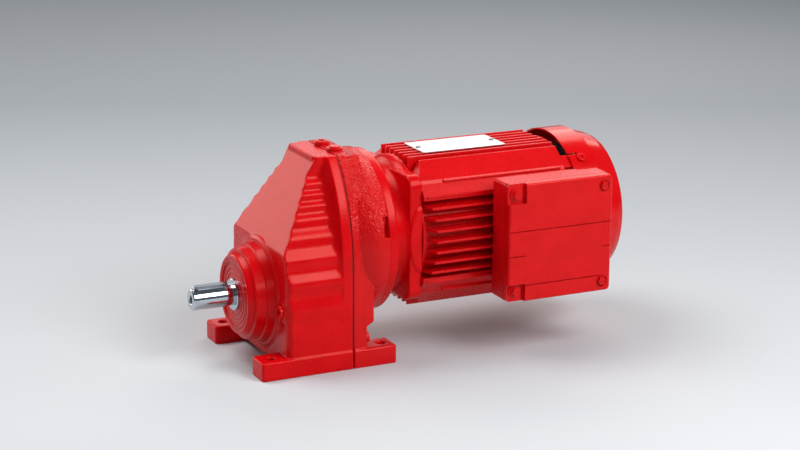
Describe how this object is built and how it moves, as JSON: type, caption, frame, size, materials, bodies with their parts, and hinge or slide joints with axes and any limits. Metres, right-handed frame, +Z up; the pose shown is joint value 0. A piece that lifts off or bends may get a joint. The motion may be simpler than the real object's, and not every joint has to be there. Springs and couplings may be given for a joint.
{
  "type": "gearmotor",
  "caption": "Foot-mounted two-stage gearmotor: offset keyed output shaft, cast gear case, finned motor with side terminal box and fan guard.",
  "frame": {"origin": "centre of the foot bolt pattern, on the mounting face", "axes": "-X along the output shaft, +X towards the motor fan, -Y towards the terminal box, +Z up"},
  "size_m": [0.4205, 0.1882, 0.1978],
  "materials": {
    "red_casting": "glossy red paint over cast iron",
    "red_motor": "glossy red paint over die-cast aluminium",
    "red_sheet": "glossy red paint over pressed steel sheet",
    "red_hardware": "painted over with the housing",
    "red_seal": "rubber face painted over",
    "ground_steel": "ground bright",
    "gear_steel": "case hardened, oiled",
    "bearing_steel": "polished",
    "screw_steel": "zinc plated",
    "spring_steel": "phosphated",
    "dark_steel": "blackened",
    "gasket_fibre": "compressed fibre",
    "seal_rubber": "black",
    "plate_metal": "blank, satin",
    "lamination_steel": "stacked laminations",
    "winding_copper": "varnished copper",
    "fan_plastic": "black moulded",
    "board_plastic": "moulded thermoset",
    "terminal_brass": "plain"
  },
  "bodies": {
    "root": {"gear_case_front": "red_casting", "gear_case_rear": "red_casting", "case_gasket": "gasket_fibre", "case_screws": "red_hardware", "filler_plug": "red_hardware", "breather_plug": "red_hardware", "level_plug": "red_hardware", "drain_plug": "red_hardware", "output_oil_seal": "red_seal", "output_bearing_circlip": "spring_steel", "output_bearing_outer_rings": "bearing_steel", "layshaft_bearing_outer_rings": "bearing_steel", "motor_bearing_outer_rings": "bearing_steel", "motor_oil_seal": "seal_rubber", "motor_flange_screws": "screw_steel", "drive_end_shield": "red_motor", "stator_housing": "red_motor", "stator_core": "lamination_steel", "stator_windings": "winding_copper", "rear_end_shield": "red_motor", "wave_washer": "spring_steel", "tie_screws": "red_hardware", "fan_guard": "red_sheet", "fan_guard_screws": "red_hardware", "nameplate": "plate_metal", "nameplate_rivets": "dark_steel", "base_gasket": "seal_rubber", "terminal_box_base": "red_motor", "base_screws": "screw_steel", "cover_gasket": "seal_rubber", "terminal_box_cover": "red_motor", "cover_screws": "red_hardware", "closure_plugs": "red_hardware", "terminal_board": "board_plastic", "terminal_studs": "terminal_brass", "terminal_links": "terminal_brass", "terminal_nuts": "terminal_brass", "earth_screw": "terminal_brass"},
    "output_shaft_set": {"output_shaft": "ground_steel", "output_key": "dark_steel", "output_wheel": "gear_steel", "output_wheel_key": "screw_steel", "output_spacer": "screw_steel", "output_bearing_inner_rings": "bearing_steel", "output_bearing_balls": "bearing_steel"},
    "layshaft_set": {"layshaft": "ground_steel", "layshaft_pinion": "gear_steel", "layshaft_wheel": "gear_steel", "layshaft_keys": "screw_steel", "layshaft_circlips": "spring_steel", "layshaft_bearing_inner_rings": "bearing_steel", "layshaft_bearing_balls": "bearing_steel"},
    "rotor_set": {"rotor_shaft": "ground_steel", "motor_pinion": "gear_steel", "rotor_core": "lamination_steel", "motor_bearing_inner_rings": "bearing_steel", "motor_bearing_balls": "bearing_steel", "cooling_fan": "fan_plastic", "fan_circlip": "spring_steel"}
  },
  "joints": [
    {"name": "rotor_spin", "type": "hinge", "parent": "root", "child": "rotor_set", "pos_m": [0.1, 0, 0.11175], "axis": [1, 0, 0], "continuous": true},
    {"name": "layshaft_spin", "type": "hinge", "parent": "root", "child": "layshaft_set", "pos_m": [0.02, 0, 0.14425], "axis": [1, 0, 0], "continuous": true},
    {"name": "output_spin", "type": "hinge", "parent": "root", "child": "output_shaft_set", "pos_m": [-0.05, 0, 0.063], "axis": [1, 0, 0], "continuous": true}
  ],
  "couplings": [
    {"joint": "layshaft_spin", "follows": "rotor_spin", "ratio": -0.33333},
    {"joint": "output_spin", "follows": "rotor_spin", "ratio": 0.20165}
  ]
}
